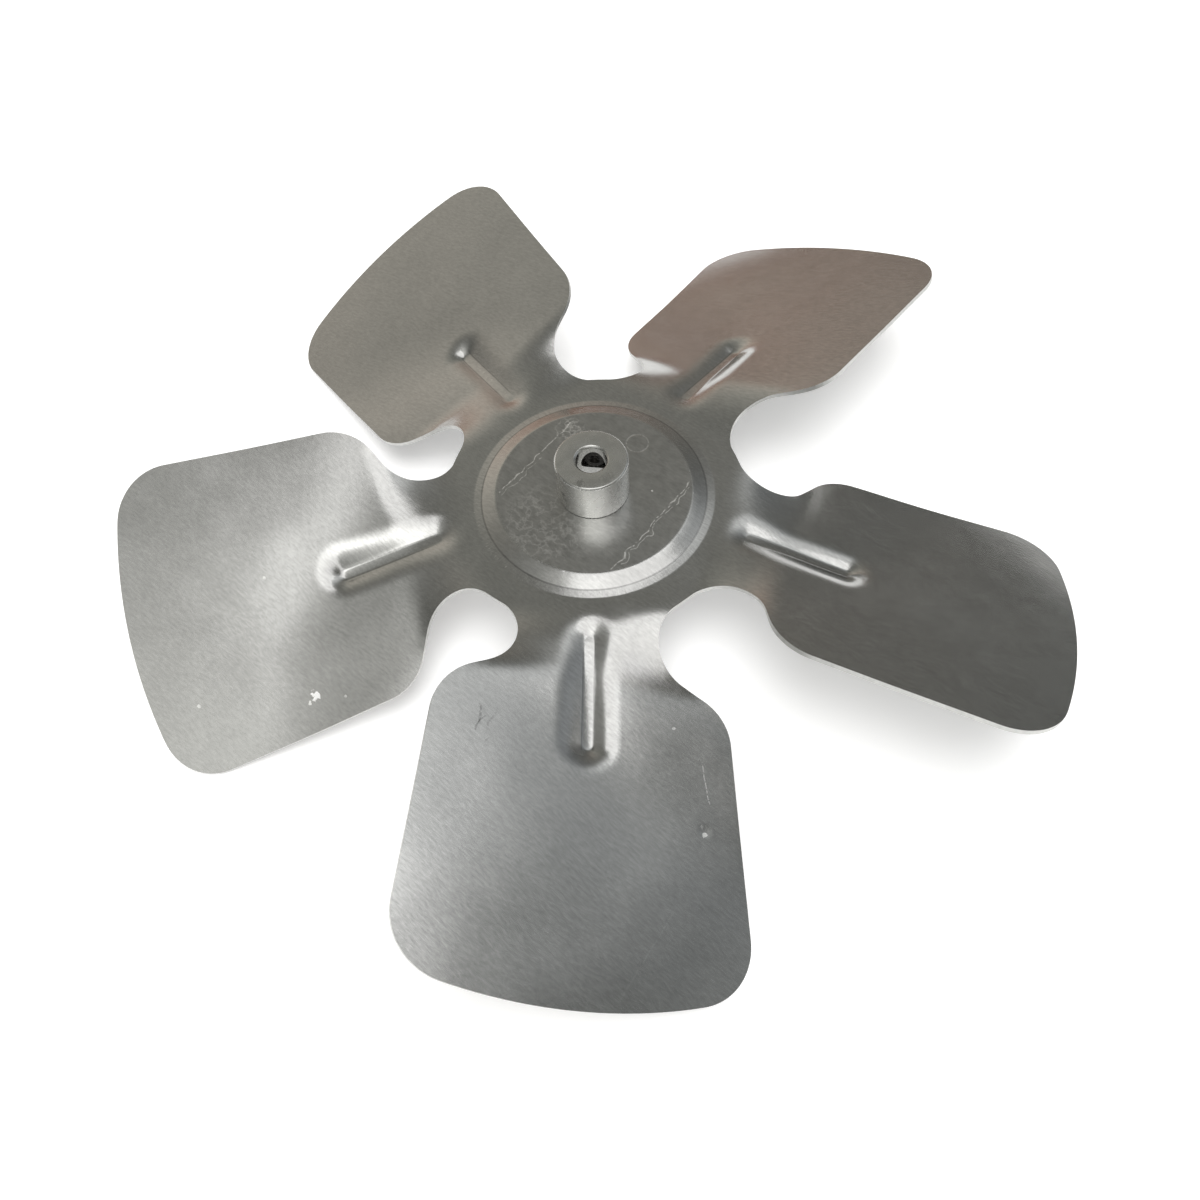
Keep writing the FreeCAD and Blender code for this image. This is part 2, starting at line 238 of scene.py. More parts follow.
def bladeSide(side, tipCentre, halfSector, step):
    # Root notch, straight neck, shoulder, long edge and tip corner of one side of the blade
    notch = Vector(side["notch"])
    neck = side["neckAngle"]
    leave = notch + polar(side["notchRadius"], neck)
    meet = leave + polar(side["neckStraight"], neck + 90.0)
    shoulder = meet + polar(side["shoulderRadius"], neck)
    edgeNormal = side["edgeAngle"] + 90.0
    edgeStart = shoulder + polar(side["shoulderRadius"], edgeNormal)
    along = polar(1.0, side["edgeAngle"])
    inner = edgeStart - polar(side["cornerRadius"], edgeNormal) - tipCentre
    reach = blank["tipArcRadius"] - side["cornerRadius"]
    run = -inner.dot(along) + math.sqrt(inner.dot(along) ** 2 - inner.dot(inner) + reach ** 2)
    corner = tipCentre + inner + along * run
    tipAngle = math.degrees(math.atan2(corner.y - tipCentre.y, corner.x - tipCentre.x))
    chain = arcPoints(notch, side["notchRadius"], halfSector - 180.0, neck, step)
    chain += linePoints(leave, meet, step)[1:]
    chain += arcPoints(shoulder, side["shoulderRadius"], neck + 180.0, edgeNormal, step)[1:]
    chain += linePoints(edgeStart, edgeStart + along * run, step)[1:]
    chain += arcPoints(corner, side["cornerRadius"], edgeNormal, tipAngle, step)[1:]
    return chain, tipAngle


def ringBends():
    # Circles where the ring wall bends: crest, crease and foot
    crest = press["discFlatRadius"] + press["crestSoftness"]
    wallDrop = press["discRise"] - press["toeWidth"] * math.tan(math.radians(press["toeAngle"]))
    crease = crest + wallDrop / math.tan(math.radians(press["wallAngle"]))
    return crest, crease, crease + press["toeWidth"]


def ringRadii():
    crest, crease, foot = ringBends()
    radii = spread(*blank["discRings"]) + [(crest + crease) / 2.0, (crease + foot) / 2.0]
    for bend, softness in ((crest, "crestSoftness"), (crease, "creaseSoftness"),
                           (foot, "footSoftness")):
        radii += [bend + press[softness] * share for share in blank["bendRings"]]
    return sorted(radii)


def blankOutline(half, step):
    # Closed outline of one sector: hole, border, trailing side, tip, leading side, border
    tip = polar(blank["tipRadius"] - blank["tipArcRadius"], blank["tipReachAzimuth"])
    trailing, trailingTip = bladeSide(blank["trailing"], tip, half, step)
    leading, leadingTip = bladeSide(blank["leading"], Vector((tip.x, -tip.y)), half, step)
    leading = [Vector((p.x, -p.y)) for p in leading]
    # Both notches meet the half-way line at one distance from the axis
    meeting = (trailing[0].length + leading[0].length) / 2.0
    trailing[0] = polar(meeting, half)
    leading[0] = polar(meeting, -half)
    tipArc = arcPoints(tip, blank["tipArcRadius"], trailingTip, -leadingTip, step)[1:-1]
    hole = arcPoints(Vector((0, 0)), blank["holeRadius"], -half, half, step)
    border = ringRadii()
    border += spread(border[-1] + step, meeting - step, step)
    out = [polar(r, half) for r in border]
    back = [polar(r, -half) for r in reversed(border)]
    return hole + out + trailing + tipArc + leading[::-1] + back


def ribPoints(fine):
    # Lines along the rib and round its end, at the bends of its section
    floor = press["ribFloorHalfWidth"]
    edge = floor + press["ribFlankWidth"]
    tight, loose = press["ribFloorSoftness"], press["ribShoulderSoftness"]
    lines = [floor - tight, floor, floor + tight] + spread(floor + fine, edge - loose - fine, fine)
    lines += spread(edge - loose, edge + loose, loose / 2.0) + [edge + loose + fine]
    mouth, end = press["ribMouthCentre"], press["ribEndCentre"]
    stations = spread(mouth, end, fine)
    points = [Vector((x, 0.0)) for x in stations]
    for away in lines:
        points += [Vector((x, sign * away)) for x in stations for sign in (-1.0, 1.0)]
        count = max(6, round(math.pi * away / fine))
        for centre, turn in ((end, -90.0), (mouth, 90.0)):
            points += [Vector((centre, 0.0)) + polar(away, 180.0 * i / count + turn)
                       for i in range(1, count)]
    return points, (mouth - lines[-1], end + lines[-1], lines[-1])


def insideOutline(spot, edges):
    crossings = 0
    for a, b in edges:
        if (a.y > spot.y) != (b.y > spot.y):
            crossings += spot.x < a.x + (spot.y - a.y) * (b.x - a.x) / (b.y - a.y)
    return crossings % 2 == 1


def farFrom(spot, outline, distance):
    return all(abs(p.x - spot.x) > distance or abs(p.y - spot.y) > distance
               or (p - spot).length > distance for p in outline)


def rowPoints(step, low, high, keepOut):
    # Staggered rows that fill the blade between its bend lines
    start, end, side = keepOut
    clear = blank["rowClearance"] * step
    foot = ringBends()[2] + press["footSoftness"] + clear
    points = []
    for row, x in enumerate(spread(low, high, step * math.sqrt(0.75))):
        for y in spread(-0.5 * blank["tipRadius"], 0.5 * blank["tipRadius"], step):
            spot = Vector((x, y + (0.5 * step if row % 2 else 0.0)))
            inRib = start - clear < x < end + clear and abs(spot.y) < side + clear
            if spot.length > foot and not inRib:
                points.append(spot)
    return points


def makeBlank():
    # Points lie densest where the press bends the sheet, and a constrained triangulation joins them
    half = 180.0 / blank["bladeCount"]
    fine = blank["outlineStep"]
    outline = blankOutline(half, fine)
    inside = []
    for radius in ringRadii():
        spans = max(8, round(math.radians(2.0 * half) * radius / fine))
        inside += [polar(radius, 2.0 * half * i / spans - half) for i in range(1, spans)]
    rib, keepOut = ribPoints(fine)
    inside += rib
    edges = list(zip(outline, outline[1:] + outline[:1]))
    firstRow = ringBends()[2] * blank["firstRowShare"]
    zones = ((blank["rootStep"], firstRow, blank["rootReach"]),
             (blank["bladeStep"], blank["rootReach"] + blank["bladeStep"], blank["tipRadius"]))
    for step, low, high in zones:
        clear = blank["rowClearance"] * step
        inside += [spot for spot in rowPoints(step, low, high, keepOut)
                   if insideOutline(spot, edges) and farFrom(spot, outline, clear)]
    count = len(outline)
    loop = [(i, (i + 1) % count) for i in range(count)]
    insideOnly = 1
    made = delaunay_2d_cdt(outline + inside, loop, [list(range(count))], insideOnly,
                           blank["pointTolerance"])
    mesh = bpy.data.meshes.new("bladeBlank")
    mesh.from_pydata([(p.x, p.y, 0.0) for p in made[0]], [], [list(f) for f in made[2]])
    return mesh


def pressTree(values):
    # Presses the blank, turns it into all the blades, and gives the sheet its thickness
    tree = bpy.data.node_groups.new("pressedBladeSheet", "GeometryNodeTree")
    face = tree.interface
    face.new_socket("Geometry", in_out="INPUT", socket_type="NodeSocketGeometry")
    face.new_socket("Geometry", in_out="OUTPUT", socket_type="NodeSocketGeometry")
    for name, value in values.items():
        kind = "NodeSocketInt" if isinstance(value, int) else "NodeSocketFloat"
        face.new_socket(name, in_out="INPUT", socket_type=kind).default_value = value
    face.new_socket("material", in_out="INPUT", socket_type="NodeSocketMaterial")
    given = addNode(tree, "NodeGroupInput")
    size = given.outputs
    place = addNode(tree, "GeometryNodeInputPosition").outputs[0]
    parts = addNode(tree, "ShaderNodeSeparateXYZ", {0: place}).outputs
    x, y = parts[0], parts[1]

    def ramp(distance, start, softness):
        return eased(tree, minus(tree, distance, start), softness)

    def slope(angle):
        return calc(tree, "TANGENT", calc(tree, "RADIANS", angle))

    def square(value):
        return calc(tree, "POWER", value, 2.0)

    # The centre stays true, and the blade's own form grows out of it
    fadeIn = fade(tree, x, size["hollowStart"], size["hollowFull"])

    # Centre disc, ring wall and toe
    radius = calc(tree, "SQRT", plus(tree, square(x), square(y)))
    atCrest = ramp(radius, size["crestRadius"], size["crestSoftness"])
    atCrease = ramp(radius, size["creaseRadius"], size["creaseSoftness"])
    atFoot = ramp(radius, size["footRadius"], size["footSoftness"])
    wall = times(tree, minus(tree, atCrest, atCrease), slope(size["wallAngle"]))
    toe = times(tree, minus(tree, atCrease, atFoot), slope(size["toeAngle"]))
    ring = minus(tree, minus(tree, size["discRise"], wall), toe)

    # Twist out of the web, with the pitch growing a little along the blade, and a slight arch
    turnIn = ramp(x, size["twistStart"], size["twistStartSoftness"])
    turnOut = ramp(x, size["twistEnd"], size["twistEndSoftness"])
    span = minus(tree, size["twistEnd"], size["twistStart"])
    twist = calc(tree, "DIVIDE", minus(tree, turnIn, turnOut), span)
    beyond = minus(tree, x, size["pitchStation"])
    pitch = addScaled(tree, beyond, size["pitchGain"], size["pitchAngle"])
    arch = calc(tree, "DIVIDE", square(y), times(tree, size["camberRadius"], 2.0))
    across = plus(tree, times(tree, slope(pitch), y), arch)
    droop = ramp(x, size["droopStart"], size["droopSoftness"])
    droop = times(tree, droop, slope(size["droopAngle"]))

    # Shallow hollows over the blade
    hollow = 0.0
    for name in press["hollows"]:
        depth, station, side, length, width, skew = [size[name + "Hollow" + part]
                                                     for part in hollowParts]
        along = calc(tree, "DIVIDE", minus(tree, x, station), length)
        aside = calc(tree, "DIVIDE", minus(tree, y, side), width)
        away = plus(tree, times(tree, along, along), times(tree, aside, aside))
        away = plus(tree, away, times(tree, times(tree, along, aside), times(tree, skew, 2.0)))
        share = calc(tree, "EXPONENT", times(tree, away, -1.0))
        hollow = addScaled(tree, depth, share, hollow)
    hollow = times(tree, hollow, fadeIn)

    # Rib, a narrow floor with sloping flanks, rounded at both ends and deeper outwards
    share = calc(tree, "DIVIDE", minus(tree, x, size["ribMouthCentre"]),
                 minus(tree, size["ribEndCentre"], size["ribMouthCentre"]), clamp=True)
    deeper = minus(tree, size["ribDepthAtEnd"], size["ribDepthAtMouth"])
    depth = addScaled(tree, share, deeper, size["ribDepthAtMouth"])
    past = calc(tree, "MAXIMUM", minus(tree, x, size["ribEndCentre"]), 0.0)
    before = calc(tree, "MAXIMUM", minus(tree, size["ribMouthCentre"], x), 0.0)
    away = calc(tree, "SQRT", plus(tree, square(plus(tree, past, before)), square(y)))
    halfWidth = plus(tree, size["ribFloorHalfWidth"], size["ribFlankWidth"])
    climb = minus(tree, ramp(away, size["ribFloorHalfWidth"], size["ribFloorSoftness"]),
                 ramp(away, halfWidth, size["ribShoulderSoftness"]))
    section = minus(tree, 1.0, calc(tree, "DIVIDE", climb, size["ribFlankWidth"]))
    rib = times(tree, depth, section)

    height = minus(tree, ring, times(tree, twist, across))
    height = minus(tree, minus(tree, height, droop), plus(tree, hollow, rib))
    lift = addNode(tree, "ShaderNodeCombineXYZ", {2: height}).outputs[0]
    kept = addNode(tree, "GeometryNodeStoreNamedAttribute",
                   {"Geometry": size["Geometry"], "Name": "bladePlace", "Value": place},
                   data_type="FLOAT_VECTOR", domain="POINT")
    pressed = addNode(tree, "GeometryNodeSetPosition",
                      {"Geometry": kept.outputs[0], "Offset": lift})

    # All the blades round the axis
    turn = calc(tree, "DIVIDE", 2.0 * math.pi, size["bladeCount"])
    index = addNode(tree, "GeometryNodeInputIndex").outputs[0]
    angle = addScaled(tree, index, turn, calc(tree, "RADIANS", size["firstBladeAzimuth"]))
    spots = addNode(tree, "GeometryNodePoints", {"Count": size["bladeCount"]})
    rotation = addNode(tree, "ShaderNodeCombineXYZ", {2: angle}).outputs[0]
    blades = addNode(tree, "GeometryNodeInstanceOnPoints", {"Points": spots.outputs[0],
                     "Instance": pressed.outputs[0], "Rotation": rotation})
    real = addNode(tree, "GeometryNodeRealizeInstances", {"Geometry": blades.outputs[0]})

    def weld(source):
        return addNode(tree, "GeometryNodeMergeByDistance",
                       {"Geometry": source.outputs[0], "Distance": size["weldDistance"]})

    # The lower face, one sheet thickness down, and the cut edges between the two
    upper = weld(real)
    turned = addNode(tree, "GeometryNodeFlipFaces", {"Mesh": upper.outputs[0]})
    lower = addNode(tree, "GeometryNodeExtrudeMesh", {"Mesh": turned.outputs[0],
                    "Offset Scale": size["sheetThickness"], "Individual": False}, mode="FACES")
    both = addNode(tree, "GeometryNodeJoinGeometry")
    tree.links.new(upper.outputs[0], both.inputs[0])
    tree.links.new(lower.outputs[0], both.inputs[0])
    smooth = addNode(tree, "GeometryNodeSetShadeSmooth",
                     {"Geometry": weld(both).outputs[0], "Shade Smooth": True})
    coated = addNode(tree, "GeometryNodeSetMaterial",
                     {"Geometry": smooth.outputs[0], "Material": size["material"]})
    addNode(tree, "NodeGroupOutput", {0: coated.outputs[0]})
    return tree


def makeBladeSpider(material):
    crest, crease, foot = ringBends()
    values = {name: value for name, value in press.items() if name not in notInTree}
    for name, sizes in press["hollows"].items():
        values.update({name + "Hollow" + part: value for part, value in zip(hollowParts, sizes)})
    values.update(bladeCount=blank["bladeCount"], crestRadius=crest, creaseRadius=crease,
                  footRadius=foot)
    raw = bpy.data.objects.new("bladeSpiderRaw", makeBlank())
    bpy.context.scene.collection.objects.link(raw)
    tree = pressTree(values)
    modifier = raw.modifiers.new("press", "NODES")
    modifier.node_group = tree
    sockets = {item.name: item.identifier for item in tree.interface.items_tree
               if item.in_out == "INPUT"}
    for name, value in values.items():
        modifier[sockets[name]] = value
    modifier[sockets["material"]] = material
    soften = raw.modifiers.new("edgeBreak", "BEVEL")
    soften.width = press["edgeBreak"]
    soften.segments = press["edgeBreakSegments"]
    soften.limit_method = "ANGLE"
    soften.angle_limit = math.radians(press["edgeBreakAngle"])
    soften.harden_normals = True
    evaluated = raw.evaluated_get(bpy.context.evaluated_depsgraph_get())
    mesh = bpy.data.meshes.new_from_object(evaluated)
    mesh.name = "bladeSpider"
    bpy.data.objects.remove(raw)
    piece = bpy.data.objects.new("bladeSpider", mesh)
    bpy.context.scene.collection.objects.link(piece)
    finishPiece(piece, "blade_spider", material)
    print("blade spider pressed:", len(mesh.polygons), "faces")


# Finishes

def newMaterial(name):
    material = bpy.data.materials.new(name)
    material.use_nodes = True
    tree = material.node_tree
    return material, tree, tree.nodes["Principled BSDF"]


def patternPlace(tree, centre=(0.0, 0.0, 0.0), turn=0.0, size=(mm, mm, mm)):
    # Object coordinates moved to a centre, turned about Z and measured in pattern sizes
    place = addNode(tree, "ShaderNodeTexCoord").outputs["Object"]
    return addNode(tree, "ShaderNodeMapping", {"Vector": place, "Location": centre, "Scale": size,
                   "Rotation": (0.0, 0.0, math.radians(turn))}, vector_type="TEXTURE").outputs[0]


def noise(tree, place, detail=2.0, scale=1.0):
    return addNode(tree, "ShaderNodeTexNoise",
                   {"Vector": place, "Scale": scale, "Detail": detail}).outputs[0]


def unevenness(tree, place, detail, scale=1.0):
    # Noise about zero
    return minus(tree, noise(tree, place, detail, scale), 0.5)


def vectorMath(tree, operation, a, b, output=0):
    return addNode(tree, "ShaderNodeVectorMath", {0: a, 1: b}, operation=operation).outputs[output]


def lengthOf(tree, vector):
    return vectorMath(tree, "LENGTH", vector, (0.0, 0.0, 0.0), 1)


def split(tree, vector):
    return addNode(tree, "ShaderNodeSeparateXYZ", {0: vector}).outputs


def facingUp(tree):
    # One where the surface faces up, zero on a wall and minus one underneath
    return split(tree, addNode(tree, "ShaderNodeNewGeometry").outputs["Normal"])[2]


def shaded(tree, colour, tone):
    return addNode(tree, "ShaderNodeVectorMath", {0: colour, "Scale": tone},
                   operation="SCALE").outputs[0]


def strokeMask(tree, place, wavy, broken, start, end, width, wander, core=0.3, taper=0.35):
    # One along a scratch from start to end, with the given width and waviness, broken up a little
    run = Vector(end) - Vector(start)
    unit = run.normalized()
    rest = vectorMath(tree, "SUBTRACT", place, (*start, 0.0))
    along = vectorMath(tree, "DOT_PRODUCT", rest, (unit.x, unit.y, 0.0), 1)
    side = vectorMath(tree, "DOT_PRODUCT", rest, (-unit.y, unit.x, 0.0), 1)
    side = calc(tree, "ABSOLUTE", addScaled(tree, wavy, wander, side))
    mask = times(tree, fade(tree, side, width, core * width), broken)
    inside = times(tree, along, minus(tree, run.length, along))
    return times(tree, mask, fade(tree, inside, 0.0, taper * run.length))


def spotMask(tree, place, ragged, centre, radius, raggedness=3.0, core=0.7):
    # One inside a small ragged spot
    away = vectorMath(tree, "DISTANCE", place, centre, 1)
    away = addScaled(tree, ragged, raggedness * radius, away)
    return fade(tree, away, radius, core * radius)


# Rolled sheet; tones add to or take from a brightness of one

sheet = {
    "colour": (0.46, 0.46, 0.45),
    "roughness": 0.205,
    "grainAngle": -36.0,
    "grainSize": (1.7 * mm, 0.55 * mm, 4.0 * mm),
    "grainDepth": 1.15e-5,
    "grainTone": 0.42,
    "cloudSize": 7.0 * mm,
    "cloudTone": 0.12,
    "cloudRoughness": 0.06,
    "waveSize": 15.0 * mm,
    "waveDepth": 1.1e-4,
    # The height of the normal at which the upper face and the cut edges begin and are full
    "upperFace": (0.2, 0.5),
    "cutEdge": (0.62, 0.42),
    # Painted highlight: how much lighter the cut edges are painted
    "edgeHighlight": 0.5,
    "edgeRoughness": 0.3,
    # Centre disc: its rim in millimetres beyond the flat, from bare to full
    "discRim": (0.7, -0.3),
    "discRoughness": 0.09,
    "discTone": -0.10,
    "mottle": {"scale": 0.42, "tone": 0.35},
    "stainRoughness": 0.08,
    "markRoughness": 0.2,
    # Scratches in millimetres: start, end, width, waviness, how much lighter
    "strokes": {
        "discLeft": ((-25.2, -1.2), (-6.0, 23.4), 0.24, 3.0, 0.75),
        "discLeftTwin": ((-24.4, -2.4), (-14.2, 10.6), 0.20, 4.2, 0.5),
        "discRight": ((5.2, -25.3), (25.6, 2.2), 0.24, 3.0, 0.75),
        "discRightTwin": ((7.6, -23.8), (25.4, 0.6), 0.20, 4.2, 0.6),
        "nearScratch": ((27.5, -70.5), (29.1, -79.8), 0.17, 0.8, 0.4),
        "longScratch": ((7.7, -125.2), (20.6, -104.0), 0.24, 0.5, 0.07),
        "scuffA": ((-24.2, -63.2), (-23.2, -68.0), 0.42, 3.4, -0.30),
        "scuffB": ((-22.5, -65.9), (-24.6, -70.0), 0.30, 3.0, -0.28),
        "scuffC": ((-20.5, -64.6), (-22.0, -68.6), 0.26, 2.4, -0.18),
        "scuffD": ((-21.2, -70.4), (-23.0, -74.0), 0.26, 2.4, -0.16),
    },
    # Small chips and specks in millimetres: place, radius, how much lighter
    "spots": {
        "leftChip": ((-71.3, -52.1, 0.0), 1.15, 1.3),
        "leftChipCrumb": ((-72.7, -53.8, 0.0), 0.5, 0.8),
        "nearDent": ((27.9, -86.9, 0.0), 0.75, 0.8),
        "nearDentTop": ((27.2, -85.0, 0.0), 0.45, 0.3),
        "nearSpeck": ((20.6, -62.7, 0.0), 0.4, 0.5),
        "discSpeck": ((15.5, -0.7, 0.0), 0.4, 0.9),
        "leftSpeckA": ((-101.2, -55.3, 0.0), 0.4, 0.5),
        "leftSpeckB": ((-86.1, -23.8, 0.0), 0.4, 0.4),
        "leftSpeckC": ((-63.4, -52.2, 0.0), 0.35, 0.5),
    },
    "dent": {"centre": (27.7, -86.0, 0.0), "radius": 2.2, "depth": 6e-5},
    "pressMark": {"centre": (11.55, 15.2, 0.0), "radius": 3.0, "width": 0.30, "depth": 3e-5,
                  "tone": 0.42},
    "blot": {"centre": (-7.1, 20.2, 0.0), "radius": 5.2, "tone": 0.45},
    "stain": {"centre": (-11.5, -10.5, 0.0), "radius": 15.5, "tone": 0.14},
    "curlSize": 2.7 * mm,
    # Ring, in millimetres: a dark line of painted shade in the crease, and drawing lines with
    # bright nicks on the toe
    "creaseShade": {"outside": 0.05, "reach": 0.34, "core": 0.08, "tone": -0.34},
    "toeLines": {"around": 95.0, "outwards": 0.5, "tone": 0.45},
    "nicks": {"inside": 0.3, "reach": 0.5, "core": 0.2, "turns": (-1.75, -2.15), "tone": 0.9},
    # Rib: dark lines of painted shade beside its floor, and the rubbed floor
    "ribCreaseShade": {"across": 1.35 * mm, "reach": 0.24 * mm, "core": 0.05 * mm, "tone": -0.3},
    "ribRub": {"across": (1.3 * mm, 0.7 * mm), "tone": 0.12},
    "ribStart": (43.0 * mm, 47.0 * mm),
    "ribEnd": (70.5 * mm, 69.0 * mm),
}


def sheetAluminium():
    material, tree, shader = newMaterial("sheetAluminium")
    place = patternPlace(tree)
    flat = vectorMath(tree, "MULTIPLY", place, (1.0, 1.0, 0.0))
    radius = lengthOf(tree, flat)
    facing = facingUp(tree)
    up = fade(tree, facing, *sheet["upperFace"])
    cutEdge = fade(tree, calc(tree, "ABSOLUTE", facing), *sheet["cutEdge"])

    # Rolling grain, one direction over the whole sheet, soft clouds of uneven sheen, slight waves
    grain = noise(tree, patternPlace(tree, turn=sheet["grainAngle"], size=sheet["grainSize"]), 2.0)
    clouds = unevenness(tree, patternPlace(tree, size=(sheet["cloudSize"],) * 3), 4.0)
    waves = noise(tree, patternPlace(tree, size=(sheet["waveSize"],) * 3), 0.0)
    ragged = unevenness(tree, flat, 1.0)
    wavy = unevenness(tree, flat, 1.0, 0.24)
    broken = fade(tree, ragged, -0.16, 0.02)
    tone = addScaled(tree, minus(tree, grain, 0.5), sheet["grainTone"], 1.0)
    tone = addScaled(tree, clouds, sheet["cloudTone"], tone)
    height = addScaled(tree, waves, sheet["waveDepth"], times(tree, grain, sheet["grainDepth"]))

    # The centre disc is duller and mottled, with curly stains and a scribbled blot
    rim = [press["discFlatRadius"] / mm + margin for margin in sheet["discRim"]]
    onDisc = times(tree, fade(tree, radius, *rim), up)
    mottle = unevenness(tree, flat, 4.0, sheet["mottle"]["scale"])
    tone = addScaled(tree, times(tree, mottle, onDisc), sheet["mottle"]["tone"], tone)
    tone = addScaled(tree, onDisc, sheet["discTone"], tone)
    matt = times(tree, onDisc, sheet["discRoughness"])
    curls = unevenness(tree, patternPlace(tree, size=(sheet["curlSize"],) * 3), 3.0)
    curls = times(tree, line(tree, curls, 0.0, 0.05, 0.01), onDisc)
    for name in ("stain", "blot"):
        reach = sheet[name]["radius"]
        away = vectorMath(tree, "DISTANCE", flat, sheet[name]["centre"], 1)
        share = times(tree, fade(tree, away, reach, 0.5 * reach), curls)
        tone = addScaled(tree, share, sheet[name]["tone"], tone)
        matt = addScaled(tree, share, sheet["stainRoughness"], matt)

    # Scratches, chips and specks on the upper face
    marks = [(strokeMask(tree, flat, wavy, broken, start, end, width, wander), light)
             for start, end, width, wander, light in sheet["strokes"].values()]
    marks += [(spotMask(tree, flat, ragged, centre, size), light)
              for centre, size, light in sheet["spots"].values()]
    lit, worn = 0.0, 0.0
    for mask, light in marks:
        lit = addScaled(tree, mask, light, lit)
        worn = addScaled(tree, mask, min(1.0, abs(light)), worn)
    tone = addScaled(tree, lit, up, tone)
    matt = addScaled(tree, times(tree, worn, up), sheet["markRoughness"], matt)

    # Plain round press mark on the disc, and a small dent near the edge of one blade
    mark, dent = sheet["pressMark"], sheet["dent"]
    away = vectorMath(tree, "DISTANCE", flat, mark["centre"], 1)
    groove = times(tree, line(tree, away, mark["radius"], mark["width"], 0.0), up)
    height = addScaled(tree, groove, -mark["depth"], height)
    tone = addScaled(tree, times(tree, groove, broken), mark["tone"], tone)
    away = vectorMath(tree, "DISTANCE", flat, dent["centre"], 1)
    pit = times(tree, fade(tree, away, dent["radius"], 0.0), up)
    height = addScaled(tree, pit, -dent["depth"], height)

    # Ring: a fine dark line of painted shade in the crease, and drawing lines with bright nicks on
    # the toe
    crease, foot = [bend / mm for bend in ringBends()[1:]]
    dark, rays, nick = sheet["creaseShade"], sheet["toeLines"], sheet["nicks"]
    parts = split(tree, flat)
    turn = calc(tree, "ARCTAN2", parts[1], parts[0])
    turnPlace = addNode(tree, "ShaderNodeCombineXYZ", {0: times(tree, turn, rays["around"]),
                        1: times(tree, radius, rays["outwards"])}).outputs[0]
    drawn = unevenness(tree, turnPlace, 3.0)
    onToe = times(tree, fade(tree, radius, crease - 0.2, crease + 0.3),
                  fade(tree, radius, foot + 0.5, foot - 0.1))
    onToe = times(tree, onToe, up)
    tone = plus(tree, tone, times(tree, drawn, times(tree, onToe, rays["tone"])))
    # Painted shade: a thin dark line darkens the sheet just outside the crease
    creaseShadeMask = line(tree, radius, crease + dark["outside"], dark["reach"], dark["core"])
    tone = addScaled(tree, times(tree, creaseShadeMask, up), dark["tone"], tone)
    nicks = times(tree, fade(tree, drawn, 0.10, 0.2), fade(tree, turn, *nick["turns"]))
    nickLine = line(tree, radius, foot - nick["inside"], nick["reach"], nick["core"])
    nicks = times(tree, nicks, nickLine)
    tone = addScaled(tree, nicks, nick["tone"], tone)

    # Rib: fine dark lines of painted shade where the narrow floor meets its flanks, and a rubbed
    # floor
    border, rub = sheet["ribCreaseShade"], sheet["ribRub"]
    onBlade = addNode(tree, "ShaderNodeAttribute", attribute_name="bladePlace").outputs["Vector"]
    station = split(tree, onBlade)
    across = calc(tree, "ABSOLUTE", station[1])
    inRib = times(tree, fade(tree, station[0], *sheet["ribStart"]),
                  fade(tree, station[0], *sheet["ribEnd"]))
    inRib = times(tree, inRib, up)
    # Painted shade: dark lines along the bends between the rib floor and its flanks
    edge = times(tree, line(tree, across, border["across"], border["reach"], border["core"]), inRib)
    tone = addScaled(tree, edge, border["tone"], tone)
    rubbed = times(tree, fade(tree, ragged, 0.02, 0.2),
                   times(tree, fade(tree, across, *rub["across"]), inRib))
    tone = addScaled(tree, rubbed, rub["tone"], tone)

    # Cut edges are painted lighter as a painted highlight, and made rougher
    # Painted highlight: the cut edges are painted lighter
    tone = addScaled(tree, cutEdge, sheet["edgeHighlight"], tone)
    roughness = addScaled(tree, clouds, sheet["cloudRoughness"], sheet["roughness"])
    roughness = plus(tree, matt, roughness)
    roughness = addScaled(tree, cutEdge, sheet["edgeRoughness"], roughness)
    finishMetal(tree, shader, shaded(tree, sheet["colour"], tone), roughness, height)
    return material


makeBladeSpider(sheetAluminium())


# Turned pieces

def softCorners(corners, rounding, steps=3):
    # A closed section with each corner eased by a short curve
    count = len(corners)
    section = []
    for i, corner in enumerate(corners):
        corner = Vector(corner)
        before = Vector(corners[i - 1]) - corner
        after = Vector(corners[(i + 1) % count]) - corner
        start = corner + before.normalized() * min(rounding, before.length * 0.45)
        end = corner + after.normalized() * min(rounding, after.length * 0.45)
        for k in range(steps + 1):
            share = k / steps
            section.append(start.lerp(corner, share).lerp(corner.lerp(end, share), share))
    return section


def meshFromRings(name, rings, closedAlong):
    # Quads between neighbouring rings of equally many points, round and, for a tube, end to end
    mesh = bpy.data.meshes.new(name)
    size = len(rings[0])
    points = [point for ring in rings for point in ring]
    faces = []
    for i in range(len(rings) if closedAlong else len(rings) - 1):
        a, b = i * size, (i + 1) % len(rings) * size
        faces += [(a + k, a + (k + 1) % size, b + (k + 1) % size, b + k) for k in range(size)]
    if not closedAlong:
        for ring, turn in ((0, -1), (len(rings) - 1, 1)):
            centre = len(points)
            points.append(sum(rings[ring], Vector()) / size)
            first = ring * size
            for k in range(size):
                pair = (first + k, first + (k + 1) % size)
                faces.append((centre,) + (pair if turn > 0 else pair[::-1]))
    mesh.from_pydata([tuple(p) for p in points], [], faces)
    work = bmesh.new()
    work.from_mesh(mesh)
    bmesh.ops.recalc_face_normals(work, faces=work.faces)
    work.to_mesh(mesh)
    work.free()
    return mesh


def ringOf(radius, z, segments):
    return [Vector((*polar(radius, 360.0 * k / segments), z)) for k in range(segments)]


def smoothMesh(mesh, sharpAngle):
    mesh.shade_smooth()
    mesh.set_sharp_from_angle(angle=math.radians(sharpAngle))


# Hub boss, turned from bar and staked through the centre disc

